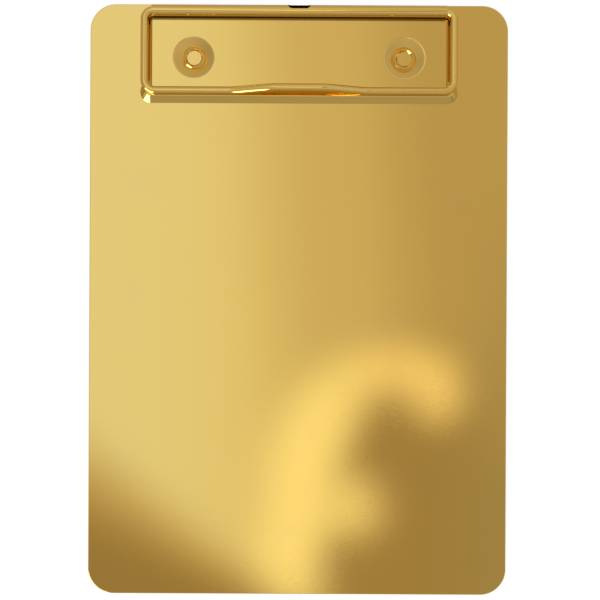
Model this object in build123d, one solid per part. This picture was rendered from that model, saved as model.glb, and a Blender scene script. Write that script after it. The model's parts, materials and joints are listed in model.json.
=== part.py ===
from build123d import *
import math
import os

# Small mirror-plated metal clipboard with a low wire bail clip, in millimetres, +Z up. It lies on its
# back with the clip towards +Y. The origin is under the middle of the board, where it rests.

# Board
board_width = 159.5
board_length = 225.0
board_thickness = 1.2
board_corner_radius = 9.8
board_edge_break = 0.25

# Wire bail
wire_diameter = 3.0
bail_width = 120.0
bail_reach = 30.2
bail_bend_radius = 3.1
pivot_end_gap = 12.0
wire_end_chamfer = 0.4
hump_length = 50.0
hump_plateau = 21.0
hump_rise = 4.8
hump_setback = 0.3
hump_bend_radius = 14.0

# Base plate, pressed from one sheet
sheet_thickness = 0.6
platform_height = 2.4
platform_skirt_lean = 0.25
sheet_bend_radius = 0.7
lip_ramp_run = 2.4
lip_front_margin = 0.2
lip_side_overhang = 0.6
lip_depth = 8.6
lip_foot_corner_radius = 4.2
roll_rear_inset = 1.15
roll_curl_degrees = 315.0
skirt_rear_setback = 1.0
window_width = 8.4
window_height = 3.0
window_tilt_degrees = 20.0

# Rivets and their dished seats
rivet_spacing = 80.0
rivet_to_roll_axis = 17.3
rivet_shank_radius = 3.1
rivet_head_radius = 4.5
rivet_head_height = 0.8
rivet_dimple_radius = 2.55
rivet_dimple_depth = 0.8
rivet_dimple_flare = 0.95
rivet_rim_height = 1.1
rivet_rim_spread = 1.1
rivet_rim_shoulder = 0.35
seat_top_radius = 7.75
seat_floor_radius = 5.0
seat_shoulder_radius = 1.4

# Clearances
wire_running_clearance = 0.08
wire_to_platform_side = 1.0
roll_end_clearance = 0.15
rivet_hole_clearance = 0.05

# Heights, from the board's back upwards
board_front = board_thickness
platform_top = board_front + platform_height
seat_floor_top = board_front + sheet_thickness

# The barrel and the wire share one axis
wire_radius = wire_diameter / 2
roll_bore_radius = wire_radius + wire_running_clearance
roll_outer_radius = roll_bore_radius + sheet_thickness
roll_axis_y = board_length / 2 - roll_rear_inset - roll_outer_radius
roll_axis_z = platform_top + roll_bore_radius
arm_x = bail_width / 2 - wire_radius
bar_y = roll_axis_y - bail_reach
roll_half_length = arm_x - bail_bend_radius - roll_end_clearance

# The platform lies between the arms, and its lip under the front bar
platform_half_width = arm_x - wire_radius - wire_to_platform_side
skirt_rear_y = roll_axis_y - roll_outer_radius - skirt_rear_setback
lip_top_front_y = bar_y - wire_radius - lip_front_margin
lip_foot_front_y = lip_top_front_y - lip_ramp_run
lip_middle_y = lip_foot_front_y + lip_depth / 2
lip_foot_half_width = bail_width / 2 + lip_side_overhang

rivet_y = roll_axis_y - rivet_to_roll_axis
rivet_places = [(-rivet_spacing / 2, rivet_y), (rivet_spacing / 2, rivet_y)]
rivet_hole_radius = rivet_shank_radius + rivet_hole_clearance


def level_edges(solid, height):
    """Edges of a solid that lie in the level plane at a height."""
    return solid.edges().filter_by_position(Axis.Z, height - 0.001, height + 0.001)


def make_board():
    """Flat sheet with rounded corners, broken edges and two rivet holes countersunk from behind."""
    outline = RectangleRounded(board_width, board_length, board_corner_radius)
    sheet = extrude(outline, board_thickness)
    rims = level_edges(sheet, board_front) + level_edges(sheet, 0)
    sheet = chamfer(rims, board_edge_break)
    sink_radius = rivet_head_radius + rivet_hole_clearance
    sink = Cone(sink_radius, rivet_hole_radius, rivet_head_height)
    for x, y in rivet_places:
        sheet -= Pos(x, y, board_thickness / 2) * Cylinder(rivet_hole_radius, 2 * board_thickness)
        sheet -= Pos(x, y, rivet_head_height / 2) * sink
    return sheet


def platform_block(half_width, height):
    """Solid under the platform's skin: a level top with leaning sides, from the lip to the roll."""
    foot = half_width + platform_skirt_lean * height / platform_height
    corners = [(-foot, 0), (foot, 0), (half_width, height), (-half_width, height)]
    section = make_face(Polyline(*corners, close=True))
    plane = Plane((0, skirt_rear_y, board_front), x_dir=(1, 0, 0), z_dir=(0, -1, 0))
    return extrude(plane * section, skirt_rear_y - lip_middle_y)


def lip_block(wall, height):
    """Solid under the lip's skin: a flat bar with ramps all round, drawn in by a wall thickness."""
    lean = lip_ramp_run * height / platform_height
    half_x = lip_foot_half_width - wall
    half_y = lip_depth / 2 - wall
    corner = lip_foot_corner_radius - wall
    foot = RectangleRounded(2 * half_x, 2 * half_y, corner)
    top = RectangleRounded(2 * (half_x - lean), 2 * (half_y - lean), corner - lean)
    block = loft([foot, Pos(0, 0, height) * top], ruled=True)
    return Pos(0, lip_middle_y, board_front) * block


def round_pressed_edge(block):
    """Rounds the bend along the whole outline of a pressing's level top, but not its open rear."""
    outline = level_edges(block, platform_top)
    bends = [edge for edge in outline if edge.center().Y < skirt_rear_y - 0.01]
    return fillet(bends, sheet_bend_radius)


def seat_cup():
    """Dished rivet seat, a ring of even sheet thickness about the Z axis, with its outer radius."""
    slope = math.atan2(platform_height - sheet_thickness, seat_top_radius - seat_floor_radius)
    shift = sheet_thickness * math.tan(slope / 2)
    rim = seat_top_radius + seat_shoulder_radius + shift
    over = FilletPolyline(
        (rim, platform_height),
        (seat_top_radius, platform_height),
        (seat_floor_radius, sheet_thickness),
        radius=[seat_shoulder_radius],
    )
    under = Polyline(
        over @ 1,
        (rivet_hole_radius, sheet_thickness),
        (rivet_hole_radius, 0),
        (seat_floor_radius + shift, 0),
        (seat_top_radius + shift, platform_height - sheet_thickness),
        (rim, platform_height - sheet_thickness),
        over @ 0,
    )
    ring = make_face([over, under])
    return rim, revolve(Plane.XZ * ring, Axis.Z)


def make_roll():
    """Rear edge of the sheet curled up and forward into a barrel, open at its ends."""
    start = -90
    outer = CenterArc((0, 0), roll_outer_radius, start, roll_curl_degrees)
    inner = CenterArc((0, 0), roll_bore_radius, start, roll_curl_degrees)
    ends = [Line(outer @ 0, inner @ 0), Line(outer @ 1, inner @ 1)]
    section = make_face([outer, inner, *ends])
    plane = Plane((0, roll_axis_y, roll_axis_z), x_dir=(0, 1, 0), z_dir=(1, 0, 0))
    return extrude(plane * section, roll_half_length, both=True)


def roll_window():
    """Cutter for the slot in the barrel's upper rear wall."""
    tilt = math.radians(window_tilt_degrees)
    outward = (0, math.cos(tilt), math.sin(tilt))
    plane = Plane((0, roll_axis_y, roll_axis_z), x_dir=(1, 0, 0), z_dir=outward)
    return extrude(plane * SlotOverall(window_width, window_height), 2 * roll_outer_radius)


def make_base_plate():
    """Platform, skirts, ramped lip, rivet seats and rolled barrel, all of one sheet."""
    ramp_angle = math.atan(lip_ramp_run / platform_height)
    lip_wall = sheet_thickness / math.cos(ramp_angle)
    hollow_height = platform_height - sheet_thickness
    hollow_half_width = platform_half_width - sheet_thickness
    outside = platform_block(platform_half_width, platform_height) + lip_block(0, platform_height)
    inside = platform_block(hollow_half_width, hollow_height) + lip_block(lip_wall, hollow_height)
    plate = round_pressed_edge(outside) - inside

    cup_radius, cup = seat_cup()
    for x, y in rivet_places:
        plate -= Pos(x, y, platform_top) * Cylinder(cup_radius, 2 * sheet_thickness + 0.1)
        plate += Pos(x, y, board_front) * cup

    strip_length = roll_axis_y - skirt_rear_y
    strip = Box(2 * roll_half_length, strip_length, sheet_thickness)
    strip_z = platform_top - sheet_thickness / 2
    plate += Pos(0, skirt_rear_y + strip_length / 2, strip_z) * strip
    plate += make_roll()
    return plate - roll_window()


def bail_path():
    """Centre line of the wire, from one pivot end round the arms and the hump to the other."""
    z = roll_axis_z
    hump_y = bar_y + hump_setback
    points = [
        (-pivot_end_gap / 2, roll_axis_y, z),
        (-arm_x, roll_axis_y, z),
        (-arm_x, bar_y, z),
        (-hump_length / 2, bar_y, z),
        (-hump_plateau / 2, hump_y, z + hump_rise),
        (hump_plateau / 2, hump_y, z + hump_rise),
        (hump_length / 2, bar_y, z),
        (arm_x, bar_y, z),
        (arm_x, roll_axis_y, z),
        (pivot_end_gap / 2, roll_axis_y, z),
    ]
    corners = [bail_bend_radius] * 2 + [hump_bend_radius] * 4 + [bail_bend_radius] * 2
    return FilletPolyline(*points, radius=corners)


def make_clamp_bail():
    """Round wire swept along its path, with chamfered ends inside the barrel."""
    path = bail_path()
    start = Plane(path @ 0, z_dir=path % 0)
    wire = sweep(start * Circle(wire_radius), path)
    end_faces = wire.faces().sort_by(lambda face: abs(face.center().X))
    ends = [face for face in end_faces if face.geom_type == GeomType.PLANE]
    rims = [edge for face in ends for edge in face.edges()]
    return chamfer(rims, wire_end_chamfer)


def make_rivet():
    """Rivet about the Z axis: flush countersunk head, shank, and a spread rim round a dimple."""
    rim_top = seat_floor_top + rivet_rim_height
    crest_radius = rivet_dimple_radius + rivet_dimple_flare
    rim_outer = crest_radius + rivet_rim_spread
    profile = Polyline(
        (0, 0),
        (rivet_head_radius, 0),
        (rivet_shank_radius, rivet_head_height),
        (rivet_shank_radius, seat_floor_top),
        (rim_outer, seat_floor_top),
        (rim_outer - rivet_rim_shoulder, rim_top - rivet_rim_shoulder),
        (crest_radius, rim_top),
        (rivet_dimple_radius, rim_top - rivet_dimple_depth),
        (0, rim_top - rivet_dimple_depth),
        close=True,
    )
    return revolve(Plane.XZ * make_face(profile), Axis.Z)


pieces = {
    "board": make_board(),
    "base_plate": make_base_plate(),
    "clamp_bail": make_clamp_bail(),
    "left_rivet": Pos(*rivet_places[0]) * make_rivet(),
    "right_rivet": Pos(*rivet_places[1]) * make_rivet(),
}

os.makedirs("parts", exist_ok=True)
for name, piece in pieces.items():
    export_step(piece, f"parts/{name}.step")
    print(name, "volume", round(piece.volume, 1), "valid", piece.is_valid)
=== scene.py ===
"""A small gold mirror-finish clipboard with a wire bail clip, dressed around its CAD frame, in metres.

The board lies on its back with the clip towards +Y, and is seen straight from above.
"""

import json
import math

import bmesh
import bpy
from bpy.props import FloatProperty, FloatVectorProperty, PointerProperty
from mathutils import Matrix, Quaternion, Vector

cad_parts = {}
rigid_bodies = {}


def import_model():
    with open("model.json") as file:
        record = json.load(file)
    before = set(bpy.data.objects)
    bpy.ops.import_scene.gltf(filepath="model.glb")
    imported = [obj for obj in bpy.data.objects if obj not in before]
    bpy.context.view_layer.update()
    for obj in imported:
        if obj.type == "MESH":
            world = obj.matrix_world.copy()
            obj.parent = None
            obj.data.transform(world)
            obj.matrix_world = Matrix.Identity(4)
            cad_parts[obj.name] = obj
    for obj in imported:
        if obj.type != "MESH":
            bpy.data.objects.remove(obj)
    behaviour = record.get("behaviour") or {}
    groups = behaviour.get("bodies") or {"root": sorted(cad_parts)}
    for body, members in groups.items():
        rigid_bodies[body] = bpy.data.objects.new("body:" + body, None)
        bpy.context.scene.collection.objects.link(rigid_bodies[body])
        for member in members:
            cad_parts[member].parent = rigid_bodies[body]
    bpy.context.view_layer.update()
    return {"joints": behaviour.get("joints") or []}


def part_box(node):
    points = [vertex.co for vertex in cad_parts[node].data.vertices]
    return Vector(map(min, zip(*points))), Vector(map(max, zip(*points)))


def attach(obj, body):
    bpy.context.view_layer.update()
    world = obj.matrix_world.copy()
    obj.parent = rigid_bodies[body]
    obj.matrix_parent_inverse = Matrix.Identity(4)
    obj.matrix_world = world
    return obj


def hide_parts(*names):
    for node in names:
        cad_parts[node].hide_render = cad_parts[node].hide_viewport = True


bl_info = {
    "name": "Gold Clipboard",
    "version": (1, 0, 0),
    "blender": (4, 5, 0),
    "location": "View3D > Sidebar > Clipboard",
    "description": "Builds a gold mirror-finish clipboard with a wire bail clip, and its studio",
    "category": "Object",
}

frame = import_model()

MM = 0.001

# The picture's width, and the real size that one of its pixels covers at the board's face.
PICTURE_PIXELS = 600
PIXEL_AT_BOARD = 0.382 * MM

# Places that are closer than this are the same place.
NEAR = 0.001 * MM

board_low, board_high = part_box("board")
plate_low, plate_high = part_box("base_plate")
bail_low, bail_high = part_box("clamp_bail")
rivet_low, rivet_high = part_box("right_rivet")
lift = frame["joints"][0]
hinge = Vector(lift["pos_m"])
board_body = lift["parent"]
bail_body = lift["child"]


def length(name, description, default):
    """A size property in metres, with enough decimals for thin metal."""
    return FloatProperty(
        name=name, description=description, default=default, min=0.0, precision=5, unit="LENGTH"
    )


def amount(name, description, default):
    """A property without a unit, such as a brightness or a share."""
    return FloatProperty(name=name, description=description, default=default, min=0.0, precision=3)


def angle(name, description, degrees):
    """An angle property, given in degrees and kept in radians."""
    return FloatProperty(name=name, description=description, default=math.radians(degrees), subtype="ANGLE")


def colour(name, description, default):
    """A linear colour property."""
    return FloatVectorProperty(
        name=name, description=description, default=default, size=3, min=0.0, soft_max=1.0, subtype="COLOR"
    )


class ClipboardBoard(bpy.types.PropertyGroup):
    """Sizes of the board."""

    corner_radius: length("Corner radius", "Radius of the board's four corners", 9.8 * MM)
    edge_round: length("Edge rounding", "Radius along the sheet's cut edges", 0.25 * MM)


class ClipboardWire(bpy.types.PropertyGroup):
    """Sizes of the wire bail."""

    radius: length("Wire radius", "Half the wire's diameter", 1.5 * MM)
    front_bend_radius: length("Front bend radius", "Centre-line radius of the bar's two bends", 4.0 * MM)
    rear_bend_radius: length("Rear bend radius", "Centre-line radius of the bends at the barrel", 3.1 * MM)
    pivot_end_gap: length("Pivot end gap", "Space between the two wire ends in the barrel", 12 * MM)
    hump_length: length("Hump length", "Length of the finger hump along the bar", 50 * MM)
    hump_plateau: length("Hump plateau", "Length of the hump's level top", 21 * MM)
    hump_setback: length("Hump setback", "How far the hump leans towards the barrel", 0.3 * MM)
    hump_bend_radius: length("Hump bend radius", "Centre-line radius of the hump's bends", 14 * MM)


class ClipboardPlate(bpy.types.PropertyGroup):
    """Sizes of the pressed base plate."""

    sheet: length("Sheet", "Thickness of the pressed sheet", 0.6 * MM)
    bend_radius: length("Bend radius", "Outer radius of the pressed bends", 0.65 * MM)
    platform_width: length("Platform width", "Width of the platform between its skirts", 112.6 * MM)
    skirt_lean: length("Skirt lean", "How far the side skirts lean out at their foot", 0.25 * MM)
    skirt_rear_gap: length("Skirt rear gap", "From the skirts' rear ends to the barrel", 1 * MM)
    ramp_run: length("Ramp run", "How far the lip's ramps reach out at their foot", 2.4 * MM)
    lip_depth: length("Lip depth", "Depth of the lip's foot, front to back", 8.6 * MM)
    lip_corner: length("Lip corner", "Corner radius of the lip's foot", 4.2 * MM)
    wire_clearance: length("Wire clearance", "Running clearance round the wire in the barrel", 0.08 * MM)
    curl: angle("Curl", "How far the rear edge is rolled round", 315)
    window_width: length("Window width", "Length of the slot in the barrel", 8.4 * MM)
    window_height: length("Window height", "Width of the slot in the barrel", 3 * MM)
    window_tilt: angle("Window tilt", "How far the slot faces up from the rear", 36)
    # The dark line along the barrel is painted shade.
    crevice: length("Crevice", "Width of the dark line on the platform along the barrel", 1.3 * MM)
    seat_radius: length("Seat radius", "Radius of a rivet seat at its shoulder", 7.7 * MM)
    seat_floor_radius: length("Seat floor radius", "Radius of a rivet seat's floor", 4.65 * MM)
    seat_shoulder: length("Seat shoulder", "Bend radius at a rivet seat's shoulder", 1.4 * MM)


class ClipboardRivet(bpy.types.PropertyGroup):
    """Sizes of the rivets."""

    shank_radius: length("Shank radius", "Radius of the shank in its hole", 3.1 * MM)
    hole_clearance: length("Hole clearance", "Gap round the shank", 0.05 * MM)
    head_radius: length("Head radius", "Radius of the flush head behind the board", 4.5 * MM)
    head_height: length("Head height", "Depth of the countersunk head", 0.8 * MM)
    dimple_radius: length("Dimple radius", "Radius of the dimple's level floor", 2.7 * MM)
    dimple_depth: length("Dimple depth", "Depth of the dimple inside the rim", 0.8 * MM)
    dimple_flare: length("Dimple flare", "How far the dimple's wall leans out", 0.75 * MM)
    rim_spread: length("Rim spread", "From the rim's crest to its foot, outwards", 1.15 * MM)
    rim_shoulder: length("Rim shoulder", "How far the rim's shoulder is cut back both ways", 0.5 * MM)
    rim_round: length("Rim rounding", "Radius of the rim's soft corners", 0.15 * MM)


class ClipboardFinish(bpy.types.PropertyGroup):
    """Colours and marks of the plating, and the colour of the painted shade in and before the barrel."""

    gold: colour("Gold", "Colour of the plating where it faces the eye", (0.800, 0.552, 0.135))
    worn_gold: colour("Worn gold", "Colour of the plating where it is rubbed", (0.770, 0.535, 0.150))
    # Painted shade: a dark colour laid inside the barrel and in the crevice before it, standing in for the
    # shade there.
    tarnish: colour("Painted shade", "Colour inside the barrel and in its crevice", (0.07, 0.03, 0.006))
    roughness: amount("Roughness", "Blur of the mirror finish", 0.035)
    wire_blur: amount("Wire blur", "How much duller the drawn wire is than the sheets", 0.06)
    worn_blur: amount("Worn blur", "How much duller the rubbed patches are", 0.05)
    grain_blur: amount("Grain blur", "How much duller the polishing marks are", 0.012)
    haze_scale: amount("Haze scale", "How fine the rubbed patches are", 38)
    wave_scale: amount("Wave scale", "How fine the faint waves are", 22)
    grain_scale: amount("Grain scale", "How fine the polishing marks are along their run", 900)
    grain_stretch: amount("Grain stretch", "How many times finer the marks are across their run", 14)
    wave_share: amount("Wave share", "How many times higher the waves are than the marks", 12)
    mark_depth: length("Mark depth", "Depth of a full-strength polishing mark", 0.01 * MM)
    # How much of the painted shade is laid in the crevice before the barrel.
    crevice_tarnish: amount("Crevice tarnish", "Share of the tarnish that shows in the crevice", 0.8)


class ClipboardStage(bpy.types.PropertyGroup):
    """Sizes of the studio, its softbox and its table."""

    camera_height: length("Camera height", "Height of the lens above the board's face", 0.4)
    view_width: length("View width", "Picture width at the board's face", PICTURE_PIXELS * PIXEL_AT_BOARD)
    view_right: length("View offset X", "How far the picture's middle is right of the board's", 0.76 * MM)
    view_down: length("View offset Y", "How far the picture's middle is below the board's", 0.16 * MM)
    softbox_turn: angle("Softbox turn", "Where the softbox stands, counter-clockwise from the right", 228)
    softbox_rise: angle("Softbox rise", "How high the softbox's middle is seen from the board", 14)
    softbox_distance: length("Softbox distance", "From the board to the softbox's middle", 1.2)
    softbox_width: length("Softbox width", "Width of the softbox", 0.95)
    softbox_height: length("Softbox height", "Height of the softbox", 0.55)
    softbox_power: FloatProperty(
        name="Softbox power", description="Power of the softbox", default=8.2, min=0.0, unit="POWER"
    )
    turn: angle("Board turn", "How far the board lies turned clockwise in the picture", 0.28)
    table_size: length("Table size", "Length of the white table's sides", 8)
    table_gap: length("Table gap", "Space between the table and the board's back", 0.02 * MM)
    table_tone: amount("Table tone", "How white the table is", 0.86)
    table_glow: amount("Table glow", "Brightness that the eye sees on the table", 1.12)
    table_glow_share: amount("Table glow share", "How far the glow hides the table's shadows", 0.8)


class ClipboardSurround(bpy.types.PropertyGroup):
    """Brightness and tints of the studio surround, where brightness 1 is white."""

    bright_side: amount("Bright side", "Brightness overhead at the left", 0.965)
    middle_fall: amount("Middle fall", "How much darker the middle overhead is", 0.195)
    right_fall: amount("Right fall", "How much darker again the right is", 0.165)
    front_fall: amount("Front fall", "How much darker again the right is towards the front", 0.12)
    shade: amount("Shade", "Brightness of the dark field behind the hook", 0.44)
    hook: amount("Hook", "Brightness of the hook's tip", 1.15)
    hook_gain: amount("Hook gain", "How much brighter the hook's stem is", 0.12)
    spot: amount("Spot", "Brightness of the spot beside the stem", 1.12)
    corner: amount("Corner", "Brightness overhead in the front left corner", 0.39)
    wall: amount("Wall", "Brightness of the walls", 0.53)
    wall_drift: amount("Wall drift", "How much brighter the walls are to the right and the rear", 0.05)
    high_gain: amount("High gain", "How much brighter the walls are high up", 0.18)
    low_fall: amount("Low fall", "How much darker the walls are low down", 0.16)
    left_tint: colour("Left tint", "Tint of the light at the left", (1.0, 1.087, 1.42))
    right_tint: colour("Right tint", "Tint of the light at the right", (1.0, 0.905, 0.84))
    wall_tint: colour("Wall tint", "Tint of the walls", (1.0, 0.93, 0.98))


def rounded_path(corners, radii, step=math.radians(4)):
    """Points along straight runs whose corners are arcs of the given radii. A radius of 0 stays sharp."""
    corners = [Vector(corner) for corner in corners]
    points = [corners[0]]
    for before, corner, after, radius in zip(corners, corners[1:], corners[2:], radii):
        back = (before - corner).normalized()
        onward = (after - corner).normalized()
        half = back.angle(onward) / 2
        if radius == 0:
            points.append(corner)
            continue
        centre = corner + (back + onward).normalized() * (radius / math.sin(half))
        reach = radius / math.tan(half)
        first = corner + back * reach - centre
        last = corner + onward * reach - centre
        turn = math.pi - 2 * half
        axis = first.cross(last).normalized()
        steps = max(2, math.ceil(turn / step))
        for index in range(steps + 1):
            points.append(centre + Quaternion(axis, turn * index / steps) @ first)
    points.append(corners[-1])
    return points


def rounded_rectangle(half_x, half_y, radius, z, steps=24):
    """Points round a level rectangle with rounded corners, counter-clockwise from the right."""
    points = []
    for quarter, (side_x, side_y) in enumerate([(1, 1), (-1, 1), (-1, -1), (1, -1)]):
        middle = Vector((side_x * (half_x - radius), side_y * (half_y - radius), z))
        for index in range(steps + 1):
            turn = math.pi / 2 * (quarter + index / steps)
            points.append(middle + radius * Vector((math.cos(turn), math.sin(turn), 0)))
    return points


def circle(middle_x, middle_y, radius, z, steps=96):
    """Points round a level circle."""
    turns = [2 * math.pi * index / steps for index in range(steps)]
    return [Vector((middle_x + radius * math.cos(t), middle_y + radius * math.sin(t), z)) for t in turns]


def lay_selected(piece, old_row, new_row):
    """Moves the selected vertices, which lie on the old row, to their places on the new one."""
    mesh = bmesh.from_edit_mesh(piece.data)
    for vertex in mesh.verts:
        if vertex.select:
            gaps = [(place - vertex.co).length_squared for place in old_row]
            vertex.co = new_row[gaps.index(min(gaps))]
    bmesh.update_edit_mesh(piece.data)


def skin(name, rows, closed=True):
    """A surface extruded from row to row. A closed row is a loop, and an open one a line."""
    if bpy.context.object and bpy.context.object.mode == "EDIT":
        bpy.ops.object.mode_set(mode="OBJECT")
    bpy.ops.object.select_all(action="DESELECT")
    count = len(rows[0])
    bpy.ops.mesh.primitive_circle_add(vertices=count, radius=1, enter_editmode=True)
    piece = bpy.context.object
    piece.name = name
    mesh = bmesh.from_edit_mesh(piece.data)
    mesh.verts.ensure_lookup_table()
    start = [vertex.co.copy() for vertex in mesh.verts]
    if not closed:
        ends = {mesh.verts[0], mesh.verts[count - 1]}
        closing = [edge for edge in mesh.edges if set(edge.verts) == ends]
        bmesh.ops.delete(mesh, geom=closing, context="EDGES")
        bmesh.update_edit_mesh(piece.data)
    bpy.ops.mesh.select_all(action="SELECT")
    lay_selected(piece, start, rows[0])
    for old_row, new_row in zip(rows, rows[1:]):
        bpy.ops.mesh.extrude_region_move()
        lay_selected(piece, old_row, new_row)
    bpy.ops.object.mode_set(mode="OBJECT")
    return piece


def join(name, pieces):
    """Joins pieces into one mesh and merges the vertices that meet."""
    bpy.ops.object.select_all(action="DESELECT")
    for piece in pieces:
        piece.select_set(True)
    bpy.context.view_layer.objects.active = pieces[0]
    bpy.ops.object.join()
    joined = bpy.context.object
    joined.name = name
    joined.data.name = name
    bpy.ops.object.mode_set(mode="EDIT")
    bpy.ops.mesh.select_all(action="SELECT")
    bpy.ops.mesh.remove_doubles(threshold=0.002 * MM)
    bpy.ops.object.mode_set(mode="OBJECT")
    return joined


def fill_loops(piece, chosen):
    """Fills between the open edges whose two ends are both chosen by a test of place."""
    make_active(piece)
    bpy.ops.object.mode_set(mode="EDIT")
    bpy.ops.mesh.select_mode(type="EDGE")
    bpy.ops.mesh.select_all(action="DESELECT")
    mesh = bmesh.from_edit_mesh(piece.data)
    for edge in mesh.edges:
        if len(edge.link_faces) < 2 and all(chosen(vertex.co) for vertex in edge.verts):
            edge.select = True
    mesh.select_flush(True)
    bmesh.update_edit_mesh(piece.data)
    bpy.ops.mesh.fill(use_beauty=True)
    bpy.ops.mesh.select_mode(type="VERT")
    bpy.ops.object.mode_set(mode="OBJECT")


def make_active(piece):
    """Leaves this piece alone selected and active."""
    if bpy.context.object and bpy.context.object.mode == "EDIT":
        bpy.ops.object.mode_set(mode="OBJECT")
    bpy.ops.object.select_all(action="DESELECT")
    piece.select_set(True)
    bpy.context.view_layer.objects.active = piece


def face_outwards(piece):
    """Turns every face of a closed shell outwards."""
    make_active(piece)
    bpy.ops.object.mode_set(mode="EDIT")
    bpy.ops.mesh.select_all(action="SELECT")
    bpy.ops.mesh.normals_make_consistent(inside=False)
    bpy.ops.object.mode_set(mode="OBJECT")


def add_modifier(piece, kind, **settings):
    """Adds a modifier with these settings and applies it."""
    make_active(piece)
    bpy.ops.object.modifier_add(type=kind)
    modifier = piece.modifiers[-1]
    for key, value in settings.items():
        setattr(modifier, key, value)
    bpy.ops.object.modifier_apply(modifier=modifier.name)


def polish(piece, sharp=math.radians(32)):
    """Smooth shading that keeps flat faces flat, so that a mirror finish shows no ripples."""
    make_active(piece)
    bpy.ops.object.shade_smooth_by_angle(angle=sharp)
    add_modifier(piece, "WEIGHTED_NORMAL", keep_sharp=True, weight=100, mode="FACE_AREA")


def finish_piece(piece, node, body, material):
    """Puts the plating on a piece, and lets it stand for its CAD node on that node's body."""
    piece.data.materials.clear()
    piece.data.materials.append(material)
    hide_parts(node)
    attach(piece, body)


class Socket:
    """A shader node's output. Python's operators on it add Math nodes."""

    def __init__(self, shader, link):
        self.shader = shader
        self.link = link

    def combined(self, operation, *values):
        """The output of a new Math node on these values."""
        return self.shader.node("ShaderNodeMath", {"operation": operation}, *values)

    def __add__(self, other):
        return self.combined("ADD", self, other)

    def __radd__(self, other):
        return self.combined("ADD", other, self)

    def __sub__(self, other):
        return self.combined("SUBTRACT", self, other)

    def __rsub__(self, other):
        return self.combined("SUBTRACT", other, self)

    def __mul__(self, other):
        return self.combined("MULTIPLY", self, other)

    def __rmul__(self, other):
        return self.combined("MULTIPLY", other, self)

    def __truediv__(self, other):
        return self.combined("DIVIDE", self, other)

    def __rtruediv__(self, other):
        return self.combined("DIVIDE", other, self)

    def __pow__(self, other):
        return self.combined("POWER", self, other)

    def larger(self, other):
        return self.combined("MAXIMUM", self, other)

    def smaller(self, other):
        return self.combined("MINIMUM", self, other)


class Shader:
    """A material's or world's node tree, emptied and ready for new nodes."""

    def __init__(self, owner):
        owner.use_nodes = True
        self.tree = owner.node_tree
        self.tree.nodes.clear()

    def node(self, kind, settings=None, *values, output=0, **named):
        """Adds a node, makes its settings, then fills its sockets in order or by name."""
        made = self.tree.nodes.new(kind)
        for key, value in (settings or {}).items():
            if key == "stops":
                self.set_stops(made.color_ramp, value)
            else:
                setattr(made, key, value)
        sockets = list(zip(made.inputs, values))
        sockets += [(made.inputs[key.replace("_", " ")], value) for key, value in named.items()]
        for socket, value in sockets:
            if isinstance(value, Socket):
                self.tree.links.new(value.link, socket)
            else:
                socket.default_value = value
        return Socket(self, made.outputs[output]) if made.outputs else made

    def set_stops(self, ramp, stops):
        """Gives a colour ramp these stops, each a place and a colour."""
        while len(ramp.elements) < len(stops):
            ramp.elements.new(1.0)
        for element, (place, tone) in zip(ramp.elements, stops):
            element.position = place
            element.color = (*tone, 1.0)

    def smooth_step(self, value, low, high):
        """0 below low, 1 above high, and a soft turn between."""
        settings = {"interpolation_type": "SMOOTHSTEP"}
        return self.node("ShaderNodeMapRange", settings, value, low, high, 0.0, 1.0)

    def split(self, vector):
        """A vector's three numbers."""
        first = self.node("ShaderNodeSeparateXYZ", {}, vector)
        return [Socket(self, output) for output in first.link.node.outputs]

    def mix(self, share, first, second):
        """A colour between two others."""
        made = self.tree.nodes.new("ShaderNodeMix")
        made.data_type = "RGBA"
        sockets = {0: share, 6: first, 7: second}
        for index, value in sockets.items():
            if isinstance(value, Socket):
                self.tree.links.new(value.link, made.inputs[index])
            else:
                made.inputs[index].default_value = value if index == 0 else (*value, 1.0)
        return Socket(self, made.outputs[2])


# The haze's range from clean plating to a rubbed patch.
WORN_HAZE = (0.52, 0.78)


def gold_plating(name, rubbed, brush, blur=0.0, tarnish=None):
    """Mirror-polished gold plating, rubbed in patches, and dark with painted shade where the shade function
    says.

    Rubbed and brush are the strengths of the patches and of the polishing marks.
    """
    finish = bpy.context.scene.clipboard_finish
    material = bpy.data.materials.new(name)
    shader = Shader(material)
    place = shader.node("ShaderNodeTexCoord", output=3)
    stretch = (1.0, finish.grain_stretch, finish.grain_stretch)
    stretched = shader.node("ShaderNodeMapping", {}, place, (0, 0, 0), (0, 0, 0), stretch)
    haze = shader.node("ShaderNodeTexNoise", {}, Vector=place, Scale=finish.haze_scale, Detail=4.0)
    grain = shader.node("ShaderNodeTexNoise", {}, Vector=stretched, Scale=finish.grain_scale, Detail=2.0)
    waves = shader.node("ShaderNodeTexNoise", {}, Vector=place, Scale=finish.wave_scale, Detail=1.0)
    worn = shader.smooth_step(haze, *WORN_HAZE) * rubbed
    tone = shader.mix(worn, tuple(finish.gold), tuple(finish.worn_gold))
    # Painted shade: the colour turns dark where the shade function gives 1.
    if tarnish:
        tone = shader.mix(tarnish(shader, *shader.split(place)), tone, tuple(finish.tarnish))
    roughness = finish.roughness + blur + worn * finish.worn_blur + grain * finish.grain_blur
    height = grain * brush + waves * (finish.wave_share * brush)
    bump = shader.node("ShaderNodeBump", {}, Strength=1.0, Distance=finish.mark_depth, Height=height)
    surface = shader.node(
        "ShaderNodeBsdfPrincipled", {}, Base_Color=tone, Metallic=1.0, Roughness=roughness, Normal=bump
    )
    shader.node("ShaderNodeOutputMaterial", {}, surface)
    return material


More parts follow.
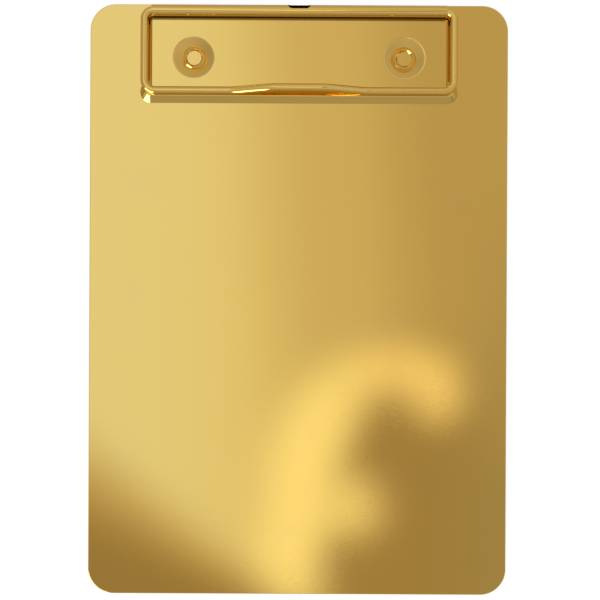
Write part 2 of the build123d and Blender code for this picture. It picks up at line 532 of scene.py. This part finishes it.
class OBJECT_OT_clipboard_board(bpy.types.Operator):
    """Add the board: a flat sheet with rounded corners, soft edges and two rivet holes"""

    bl_idname = "object.clipboard_board"
    bl_label = "Board"

    def execute(self, context):
        sizes = context.scene.clipboard_board
        rivet = context.scene.clipboard_rivet
        half_x, half_y = board_high.x, board_high.y
        top, bottom = board_high.z, board_low.z
        edge = sizes.edge_round
        section = [(-edge, 0, top), (0, 0, top), (0, 0, bottom), (-edge, 0, bottom)]
        # A hair smaller than the edge, so that no two points coincide.
        arc = edge * 0.98
        profile = rounded_path(section, [arc, arc], step=math.radians(15))
        rows = [
            rounded_rectangle(half_x + point.x, half_y + point.x, sizes.corner_radius + point.x, point.z)
            for point in profile
        ]
        parts = [skin("board_rim", rows)]
        hole = rivet.shank_radius + rivet.hole_clearance
        sink = rivet.head_radius + rivet.hole_clearance
        sink_top = bottom + rivet.head_height
        for x, y in rivet_places():
            wall = [(hole, top), (hole, sink_top), (sink, bottom)]
            parts.append(skin("board_hole", [circle(x, y, radius, z) for radius, z in wall]))
        board = join("mirror_board", parts)
        fill_loops(board, lambda place: abs(place.z - top) < NEAR)
        fill_loops(board, lambda place: abs(place.z - bottom) < NEAR)
        face_outwards(board)
        polish(board)
        material = gold_plating("gold_plated_board", rubbed=0.5, brush=0.25)
        finish_piece(board, "board", board_body, material)
        return {"FINISHED"}


def rivet_places():
    """The two rivets' axes."""
    middle = (rivet_low + rivet_high) / 2
    return [(-middle.x, middle.y), (middle.x, middle.y)]


class OBJECT_OT_clipboard_base_plate(bpy.types.Operator):
    """Add the base plate: platform, skirts, ramped lip, rivet seats and rolled barrel in one sheet"""

    bl_idname = "object.clipboard_base_plate"
    bl_label = "Base plate"

    def execute(self, context):
        sizes = context.scene.clipboard_plate
        rivet = context.scene.clipboard_rivet
        bore = context.scene.clipboard_wire.radius + sizes.wire_clearance
        top = hinge.z - bore
        seat_floor = plate_low.z + sizes.sheet
        skirt_rear = hinge.y - bore - sizes.sheet - sizes.skirt_rear_gap
        parts = [self.add_skirts(sizes, top, skirt_rear), self.add_barrel(sizes, bore, skirt_rear)]
        seat = [
            (sizes.seat_radius + sizes.seat_shoulder, 0, top),
            (sizes.seat_radius, 0, top),
            (sizes.seat_floor_radius, 0, seat_floor),
            (rivet.shank_radius + rivet.hole_clearance, 0, seat_floor),
        ]
        profile = rounded_path(seat, [sizes.seat_shoulder, sizes.sheet / 4])
        for x, y in rivet_places():
            parts.append(skin("seat", [circle(x, y, point.x, point.z) for point in profile]))
        plate = join("pressed_base_plate", parts)
        fill_loops(plate, lambda place: abs(place.z - top) < NEAR and place.y < skirt_rear + NEAR)
        self.face_upwards(plate)
        add_modifier(plate, "SOLIDIFY", thickness=sizes.sheet, offset=-1.0, use_even_offset=True)
        self.cut_window(plate, sizes)
        polish(plate)
        # The pressing gets painted shade inside the barrel and in the crevice before it.
        material = gold_plating("gold_plated_pressing", rubbed=0.6, brush=0.2, tarnish=self.tarnish)
        finish_piece(plate, "base_plate", board_body, material)
        return {"FINISHED"}

    def skirt_angle(self, sizes, top):
        """How far the side skirts are bent down from level."""
        return math.atan2(top - plate_low.z, sizes.skirt_lean)

    def flare(self, sizes, depth, turn):
        """How far a bent-down wall stands outside the level top's sharp edge at a depth."""
        radius = sizes.bend_radius
        if depth < radius * (1 - math.cos(turn)):
            return math.sqrt(radius**2 - (radius - depth) ** 2) - radius * math.tan(turn / 2)
        return depth / math.tan(turn)

    def add_skirts(self, sizes, top, rear):
        """The side skirts and the lip's ramps, bent down from the edge of the level top."""
        height = top - plate_low.z
        skirt_angle = self.skirt_angle(sizes, top)
        ramp_angle = math.atan2(height, sizes.ramp_run)
        lip_middle = plate_low.y + sizes.lip_depth / 2

        def outline(depth):
            """The pressing's open outline at a depth, from its left rear end round the lip."""
            z = top - depth
            side = sizes.platform_width / 2 + self.flare(sizes, depth, skirt_angle)
            grown = self.flare(sizes, depth, ramp_angle) - sizes.ramp_run
            half_y = sizes.lip_depth / 2 + grown
            corner = sizes.lip_corner + grown
            lip = rounded_rectangle(plate_high.x + grown, half_y, corner, z, steps=20)
            lip = [point + Vector((0, lip_middle, 0)) for point in lip]
            quarter = len(lip) // 4
            left = [Vector((-side, rear, z)), Vector((-side, lip_middle + half_y, z))]
            right = [Vector((side, lip_middle + half_y, z)), Vector((side, rear, z))]
            return [*left, *lip[quarter:], *lip[:quarter], *right]

        steps = 14
        turns = [skirt_angle * index / steps for index in range(steps + 1)]
        depths = [sizes.bend_radius * (1 - math.cos(turn)) for turn in turns] + [height]
        return skin("skirts", [outline(depth) for depth in depths], closed=False)

    def add_barrel(self, sizes, bore, rear):
        """The level strip behind the platform, whose rear edge is rolled up and forward."""
        top = hinge.z - bore
        half_width = sizes.platform_width / 2 + self.flare(sizes, 0, self.skirt_angle(sizes, top))
        section = [(rear, top), (hinge.y, top)]
        steps = 72
        for index in range(1, steps + 1):
            turn = sizes.curl * index / steps - math.pi / 2
            section.append((hinge.y + bore * math.cos(turn), hinge.z + bore * math.sin(turn)))
        rows = [[Vector((x, y, z)) for x in (-half_width, 0, half_width)] for y, z in section]
        return skin("barrel", rows, closed=False)

    def face_upwards(self, plate):
        """Turns the sheet's normals to one side, which is up on its level top."""
        make_active(plate)
        bpy.ops.object.mode_set(mode="EDIT")
        bpy.ops.mesh.select_all(action="SELECT")
        bpy.ops.mesh.normals_make_consistent(inside=False)
        mesh = bmesh.from_edit_mesh(plate.data)
        level = [face for face in mesh.faces if abs(face.normal.z) > 0.999]
        if max(level, key=lambda face: face.calc_area()).normal.z < 0:
            bpy.ops.mesh.flip_normals()
        bpy.ops.object.mode_set(mode="OBJECT")

    def tarnish(self, shader, x, y, z):
        """Painted shade: 1 inside the barrel and less in the crevice before it, standing in for the shade
        there.
        """
        sizes = bpy.context.scene.clipboard_plate
        bore = bpy.context.scene.clipboard_wire.radius + sizes.wire_clearance
        ahead = y - hinge.y
        above = z - hinge.z
        away = (ahead * ahead + above * above) ** 0.5
        inside = 1.0 - shader.smooth_step(away, bore + sizes.sheet * 0.1, bore + sizes.sheet * 0.4)
        front = hinge.y - bore - sizes.sheet
        crevice = shader.smooth_step(y, front - sizes.crevice, front - sizes.crevice * 0.6)
        low = 1.0 - shader.smooth_step(z, hinge.z - bore + sizes.sheet * 0.5, hinge.z)
        before_axis = 1.0 - shader.smooth_step(y, front + bore, front + 2 * bore)
        # The crevice gets only a share of the painted shade.
        strength = bpy.context.scene.clipboard_finish.crevice_tarnish
        return inside.larger(crevice * low * before_axis * strength)

    def cut_window(self, plate, sizes):
        """Cuts the slot in the barrel's upper rear wall."""
        rightward = Vector((1, 0, 0))
        outward = Vector((0, math.cos(sizes.window_tilt), math.sin(sizes.window_tilt)))
        upward = Vector((0, -outward.z, outward.y))
        half_x, half_y = sizes.window_width / 2, sizes.window_height / 2
        end_radius = half_y * 0.999
        slot = rounded_rectangle(half_x, half_y, end_radius, 0, steps=12)
        slot = [hinge + point.x * rightward + point.y * upward for point in slot]
        reach = 3 * (sizes.sheet + half_y)
        cutter = skin("window_cutter", [slot, [point + reach * outward for point in slot]])
        fill_loops(cutter, lambda place: (place - hinge).dot(outward) < NEAR)
        fill_loops(cutter, lambda place: (place - hinge).dot(outward) > reach - NEAR)
        face_outwards(cutter)
        add_modifier(plate, "BOOLEAN", object=cutter, operation="DIFFERENCE", solver="EXACT")
        bpy.data.objects.remove(cutter)


class OBJECT_OT_clipboard_bail(bpy.types.Operator):
    """Add the wire bail: pivot runs, arms, front bar and finger hump in one round wire"""

    bl_idname = "object.clipboard_bail"
    bl_label = "Wire bail"

    def execute(self, context):
        sizes = context.scene.clipboard_wire
        arm_x = bail_high.x - sizes.radius
        bar_y = bail_low.y + sizes.radius
        z = hinge.z
        hump_y = bar_y + sizes.hump_setback
        hump_z = bail_high.z - sizes.radius
        right_half = [
            (sizes.hump_plateau / 2, hump_y, hump_z),
            (sizes.hump_length / 2, bar_y, z),
            (arm_x, bar_y, z),
            (arm_x, hinge.y, z),
            (sizes.pivot_end_gap / 2, hinge.y, z),
        ]
        left_half = [(-x, y, height) for x, y, height in reversed(right_half)]
        bends = [sizes.hump_bend_radius] * 2 + [sizes.front_bend_radius, sizes.rear_bend_radius]
        bends = [*reversed(bends), *bends]
        path = rounded_path(left_half + right_half, bends, step=math.radians(3))
        line = bpy.data.curves.new("bail_line", "CURVE")
        line.dimensions = "3D"
        line.bevel_depth = sizes.radius
        line.bevel_resolution = 14
        line.use_fill_caps = True
        spline = line.splines.new("POLY")
        spline.points.add(len(path) - 1)
        for point, place in zip(spline.points, path):
            point.co = (*place, 1.0)
        bail = bpy.data.objects.new("wire_bail", line)
        context.scene.collection.objects.link(bail)
        make_active(bail)
        bpy.ops.object.convert(target="MESH")
        bail = context.object
        face_outwards(bail)
        polish(bail, sharp=math.radians(50))
        blur = context.scene.clipboard_finish.wire_blur
        material = gold_plating("gold_plated_wire", rubbed=0.5, brush=0.2, blur=blur)
        finish_piece(bail, "clamp_bail", bail_body, material)
        return {"FINISHED"}


class OBJECT_OT_clipboard_rivets(bpy.types.Operator):
    """Add the two rivets, with flush heads behind and spread rims round a dimple in their seats"""

    bl_idname = "object.clipboard_rivets"
    bl_label = "Rivets"

    def execute(self, context):
        sizes = context.scene.clipboard_rivet
        seat = plate_low.z + context.scene.clipboard_plate.sheet
        top = rivet_high.z
        crest = sizes.dimple_radius + sizes.dimple_flare
        foot = crest + sizes.rim_spread
        floor = top - sizes.dimple_depth
        filled_radius = sizes.dimple_radius * 0.9
        corners = [
            (sizes.head_radius, 0, rivet_low.z),
            (sizes.shank_radius, 0, rivet_low.z + sizes.head_height),
            (sizes.shank_radius, 0, seat),
            (foot, 0, seat),
            (foot - sizes.rim_shoulder, 0, top - sizes.rim_shoulder),
            (crest, 0, top),
            (sizes.dimple_radius, 0, floor),
            (filled_radius, 0, floor),
        ]
        sharp = 0
        soft = sizes.rim_round
        radii = [sharp, sharp, sharp, 3 * soft, soft, soft / 2]
        profile = rounded_path(corners, radii, step=math.radians(6))
        material = gold_plating("gold_plated_rivet", rubbed=0.6, brush=0.2)
        for side, (x, y) in zip(("left", "right"), rivet_places()):
            rivet = skin(f"{side}_rim_rivet", [circle(x, y, point.x, point.z) for point in profile])
            fill_loops(rivet, lambda place: abs(place.z - rivet_low.z) < NEAR)
            fill_loops(rivet, lambda place: abs(place.z - floor) < NEAR)
            face_outwards(rivet)
            polish(rivet)
            finish_piece(rivet, f"{side}_rivet", board_body, material)
        return {"FINISHED"}


# What the board mirrors from straight above, the ceiling. Its places are those on the board where
# the lens sees them, in metres from the point under the lens. A pair says where a change starts and
# ends.
CEILING_SLANT = 0.07
MIDDLE_FALL = (-0.035, 0.012)
RIGHT_FALL = (0.018, 0.06)
FRONT_FALL_ACROSS = (0.055, 0.1)
FRONT_FALL_DOWN = (-0.07, 0.03)

# The dark field behind the hook: a front part, and two rounded lobes with their two ends, their
# radius and their softness.
SHADE_ACROSS = (-0.004, 0.02)
SHADE_DOWN = (0.046, 0.07)
SHADE_LOBES = [
    ((0.045, -0.056), (0.04, -0.13), 0.035, 0.02),
    ((0.034, -0.05), (0.07, -0.1), 0.022, 0.016),
]

# The bright hook from the foot of its stem round to its tip, each place with the radius from there
# on, and the spot beside the stem, which is laid out as a lobe is.
HOOK = [
    (-0.0050, -0.1146, 0.0105), (-0.0042, -0.0947, 0.0115), (-0.0004, -0.0810, 0.0125),
    (0.0008, -0.0657, 0.0125), (0.0034, -0.0562, 0.0125), (0.0072, -0.0474, 0.0120),
    (0.0114, -0.0390, 0.0100), (0.0199, -0.0305, 0.0088), (0.0306, -0.0262, 0.0088),
    (0.0428, -0.0268, 0.0095), (0.0515, -0.0310, 0.0087),
]
HOOK_TIP = (0.0522, -0.0360)
HOOK_SOFTNESS = 0.0088
HOOK_GAIN_DOWN = (0.026, 0.046)
SPOT = ((0.0185, -0.0790), (0.0200, -0.0790), 0.0105, 0.0088)

# The dark front left corner: the direction and distance of its edge, which is softest at the board's
# left side and sharper towards the right.
CORNER_DIRECTION = (0.534, 0.845)
CORNER_DISTANCE = 0.101
CORNER_LEFT = 0.078
CORNER_SOFTNESS = 0.024
CORNER_SOFTNESS_FALL = 0.235
CORNER_LEAST_SOFTNESS = 0.01

# How far out the ceiling turns into walls, and where the walls change with height, which is 0 level
# and 1 straight up. A direction under the least height meets the ceiling as if it had that height.
WALL_START = (0.135, 0.2)
WALL_HIGH = (0.5, 0.8)
WALL_LOW = (0.0, 0.2)
LEAST_HEIGHT = 0.02

# The light's tint by its brightness, as shares of the brightest, and where the left and the right
# tint set in with place and brightness.
BRIGHTEST = 1.25
TINTS = [
    (0.0, (1.0, 0.80, 0.64)),
    (0.40, (1.0, 0.83, 0.70)),
    (0.55, (1.0, 0.90, 0.84)),
    (0.64, (1.0, 0.957, 0.97)),
    (0.78, (1.0, 1.0, 1.0)),
    (1.0, (1.0, 1.0, 1.0)),
]
LEFT_TINT_ACROSS = (-0.01, 0.07)
LEFT_TINT_LEVEL = (0.7, 0.95)
RIGHT_TINT_ACROSS = (0.008, 0.04)
RIGHT_TINT_LEVEL = (0.6, 0.9)
RIGHT_TINT_ALWAYS = (0.045, 0.08)


class OBJECT_OT_clipboard_stage(bpy.types.Operator):
    """Add the pale floor, the soft studio surround, one softbox and the camera above the board"""

    bl_idname = "object.clipboard_stage"
    bl_label = "Studio"

    def execute(self, context):
        sizes = context.scene.clipboard_stage
        self.add_floor(sizes)
        self.add_surround(context, sizes)
        self.add_softbox(context, sizes)
        self.add_camera(context, sizes)
        return {"FINISHED"}

    def add_floor(self, sizes):
        """A wide white table. The eye sees it near white, and it keeps the board's shadow."""
        bpy.ops.object.select_all(action="DESELECT")
        place = (0, 0, board_low.z - sizes.table_gap)
        bpy.ops.mesh.primitive_plane_add(size=sizes.table_size, location=place)
        floor = bpy.context.object
        floor.name = "white_table"
        material = bpy.data.materials.new("white_table")
        shader = Shader(material)
        sight = shader.node("ShaderNodeLightPath", output=0)
        white = (sizes.table_tone, sizes.table_tone, sizes.table_tone, 1)
        paint = shader.node("ShaderNodeBsdfDiffuse", {}, Color=white)
        glow = shader.node("ShaderNodeEmission", {}, Color=(1, 1, 1, 1), Strength=sizes.table_glow)
        surface = shader.node("ShaderNodeMixShader", {}, sight * sizes.table_glow_share, paint, glow)
        shader.node("ShaderNodeOutputMaterial", {}, surface)
        floor.data.materials.append(material)

    def add_surround(self, context, sizes):
        """A soft studio all round: what the board mirrors straight above it, and dimmer walls."""
        light = context.scene.clipboard_surround
        world = bpy.data.worlds.new("studio_surround")
        context.scene.world = world
        shader = Shader(world)
        towards = shader.node("ShaderNodeTexCoord", output=0)
        x, y, z = shader.split(towards)
        up = z.larger(LEAST_HEIGHT)
        across = x / up * sizes.camera_height
        along = y / up * sizes.camera_height
        overhead = self.overhead(shader, light, across, along)
        far = (across * across + along * along) ** 0.5
        wall = shader.smooth_step(far, *WALL_START)
        around = light.wall + x * light.wall_drift + y * light.wall_drift
        around = around + shader.smooth_step(z, *WALL_HIGH) * light.high_gain
        around = around - (1.0 - shader.smooth_step(z, *WALL_LOW)) * light.low_fall
        level = overhead + (around - overhead) * wall
        tint = self.tint(shader, light, level, across, wall)
        mirrored = shader.node("ShaderNodeBackground", {}, Color=tint, Strength=level)
        white = shader.node("ShaderNodeBackground", {}, Color=(1, 1, 1, 1), Strength=1.0)
        sight = shader.node("ShaderNodeLightPath", output=0)
        surface = shader.node("ShaderNodeMixShader", {}, sight, mirrored, white)
        shader.node("ShaderNodeOutputWorld", {}, surface)

    def tint(self, shader, light, level, across, wall):
        """The surround's tint: warm where it is dark, cool at the bright left and warm at the right."""
        tint = shader.node("ShaderNodeValToRGB", {"stops": TINTS}, level / BRIGHTEST)
        left = shader.smooth_step(0.0 - across, *LEFT_TINT_ACROSS)
        left = left * shader.smooth_step(level, *LEFT_TINT_LEVEL)
        tint = shader.mix(left, tint, tuple(light.left_tint))
        right = shader.smooth_step(across, *RIGHT_TINT_ACROSS)
        right = right * shader.smooth_step(level, *RIGHT_TINT_LEVEL)
        right = right.larger(shader.smooth_step(across, *RIGHT_TINT_ALWAYS))
        tint = shader.mix(right, tint, tuple(light.right_tint))
        return shader.mix(wall, tint, tuple(light.wall_tint))

    def overhead(self, shader, light, across, along):
        """Brightness straight above: light at the left, a bright hook and dark corners below."""

        def glow(first, last, radius, softness):
            """1 within a radius of a line between two places overhead, falling off softly."""
            run = Vector(last) - Vector(first)
            away_x = across - first[0]
            away_y = along - first[1]
            share = (away_x * run.x + away_y * run.y) / run.length_squared
            share = share.larger(0.0).smaller(1.0)
            off_x = away_x - share * run.x
            off_y = away_y - share * run.y
            far = (off_x * off_x + off_y * off_y) ** 0.5
            return 1.0 - shader.smooth_step(far, radius - softness, radius + softness)

        down = along * -1.0
        slanted = across + along * CEILING_SLANT
        level = light.bright_side - light.middle_fall * shader.smooth_step(slanted, *MIDDLE_FALL)
        level = level - light.right_fall * shader.smooth_step(slanted, *RIGHT_FALL)
        front_right = shader.smooth_step(across, *FRONT_FALL_ACROSS)
        front_right = front_right * shader.smooth_step(down, *FRONT_FALL_DOWN)
        level = level - light.front_fall * front_right

        shade = shader.smooth_step(across, *SHADE_ACROSS) * shader.smooth_step(down, *SHADE_DOWN)
        for lobe in SHADE_LOBES:
            shade = shade.larger(glow(*lobe))
        level = level - shade * (level - light.shade)

        hook = None
        ends = [place for *place, _ in HOOK[1:]] + [HOOK_TIP]
        for (x, y, radius), end in zip(HOOK, ends):
            part = glow((x, y), end, radius, HOOK_SOFTNESS)
            hook = part if hook is None else hook.larger(part)
        peak = light.hook + light.hook_gain * shader.smooth_step(down, *HOOK_GAIN_DOWN)
        level = level + hook * (peak - level)
        level = level + glow(*SPOT) * (level.larger(light.spot) - level)

        way_x, way_y = CORNER_DIRECTION
        beyond = (across * way_x + along * way_y + CORNER_DISTANCE) * -1.0
        softness = CORNER_SOFTNESS - (across + CORNER_LEFT) * CORNER_SOFTNESS_FALL
        softness = softness.larger(CORNER_LEAST_SOFTNESS)
        corner = shader.smooth_step(beyond / softness, -1.0, 1.0)
        return level - corner * (level - light.corner)

    def add_softbox(self, context, sizes):
        """A wide softbox at the lower left, whose reflection draws the white lines on the bends."""
        bpy.ops.object.select_all(action="DESELECT")
        level = math.cos(sizes.softbox_rise)
        way = Vector((level * math.cos(sizes.softbox_turn), level * math.sin(sizes.softbox_turn), 0))
        middle = sizes.softbox_distance * (way + Vector((0, 0, math.sin(sizes.softbox_rise))))
        bpy.ops.object.light_add(type="AREA", location=middle)
        softbox = context.object
        softbox.name = "softbox"
        softbox.data.shape = "RECTANGLE"
        softbox.data.size = sizes.softbox_width
        softbox.data.size_y = sizes.softbox_height
        softbox.data.energy = sizes.softbox_power
        softbox.rotation_euler = (-middle).to_track_quat("-Z", "Y").to_euler()

    def add_camera(self, context, sizes):
        """A camera that looks straight down on the board."""
        bpy.ops.object.select_all(action="DESELECT")
        place = (sizes.view_right, -sizes.view_down, board_high.z + sizes.camera_height)
        bpy.ops.object.camera_add(location=place, rotation=(0, 0, sizes.turn))
        camera = context.object
        camera.data.angle = 2 * math.atan(sizes.view_width / 2 / sizes.camera_height)
        camera.data.clip_start = 0.01
        context.scene.camera = camera


class VIEW3D_PT_clipboard(bpy.types.Panel):
    """The clipboard's pieces and their sizes"""

    bl_label = "Clipboard"
    bl_space_type = "VIEW_3D"
    bl_region_type = "UI"
    bl_category = "Clipboard"

    def draw(self, context):
        layout = self.layout
        for operator in OPERATORS:
            layout.operator(operator.bl_idname)
        for name, group in GROUPS.items():
            box = layout.box()
            box.label(text=group.__doc__)
            settings = getattr(context.scene, name)
            for key in group.__annotations__:
                box.prop(settings, key)


OPERATORS = (
    OBJECT_OT_clipboard_board,
    OBJECT_OT_clipboard_base_plate,
    OBJECT_OT_clipboard_bail,
    OBJECT_OT_clipboard_rivets,
    OBJECT_OT_clipboard_stage,
)
GROUPS = {
    "clipboard_board": ClipboardBoard,
    "clipboard_wire": ClipboardWire,
    "clipboard_plate": ClipboardPlate,
    "clipboard_rivet": ClipboardRivet,
    "clipboard_finish": ClipboardFinish,
    "clipboard_stage": ClipboardStage,
    "clipboard_surround": ClipboardSurround,
}


def register():
    for name, group in GROUPS.items():
        bpy.utils.register_class(group)
        setattr(bpy.types.Scene, name, PointerProperty(type=group))
    for operator in OPERATORS:
        bpy.utils.register_class(operator)
    bpy.utils.register_class(VIEW3D_PT_clipboard)


def unregister():
    bpy.utils.unregister_class(VIEW3D_PT_clipboard)
    for operator in reversed(OPERATORS):
        bpy.utils.unregister_class(operator)
    for name, group in GROUPS.items():
        delattr(bpy.types.Scene, name)
        bpy.utils.unregister_class(group)


def main():
    """Builds everything in order."""
    register()
    bpy.context.scene.view_settings.view_transform = "Standard"
    bpy.ops.object.clipboard_board()
    bpy.ops.object.clipboard_base_plate()
    bpy.ops.object.clipboard_bail()
    bpy.ops.object.clipboard_rivets()
    bpy.ops.object.clipboard_stage()


if __name__ == "__main__":
    main()
